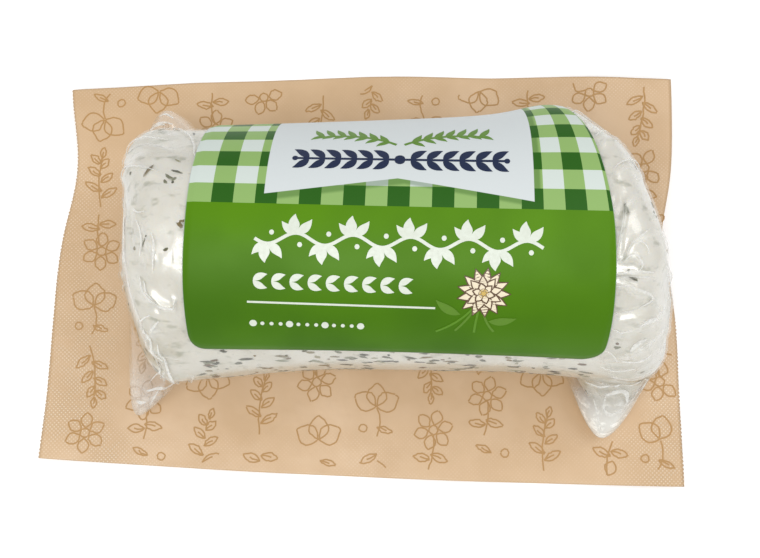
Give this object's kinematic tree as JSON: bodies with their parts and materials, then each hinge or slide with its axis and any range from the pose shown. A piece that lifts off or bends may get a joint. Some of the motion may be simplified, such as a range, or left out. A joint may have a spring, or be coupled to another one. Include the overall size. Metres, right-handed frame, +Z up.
{
  "type": "vacuum packed soft cheese log",
  "caption": "Herb cheese log under clear vacuum film with gathered ends and ears, on a wide printed backing sheet, with a wrapped label.",
  "frame": {"origin": "centre of the overall box on the table", "axes": "+X along the log towards its slanted end, +Y to the back, +Z up; the label's plain edge faces -Y"},
  "size_m": [0.1182, 0.0784, 0.0427],
  "materials": {
    "backing_film": "tan satin film with a brown line print and knurled heat seal",
    "clear_film": "clear glossy film drawn tight over the cheese",
    "label_paper": "satin printed film label, green with gingham",
    "cheese": "moist white soft cheese",
    "herbs": "dried green and brown herb flakes"
  },
  "bodies": {
    "root": {"backing_sheet": "backing_film", "wrapped_log": "clear_film", "label": "label_paper"}
  },
  "joints": []
}
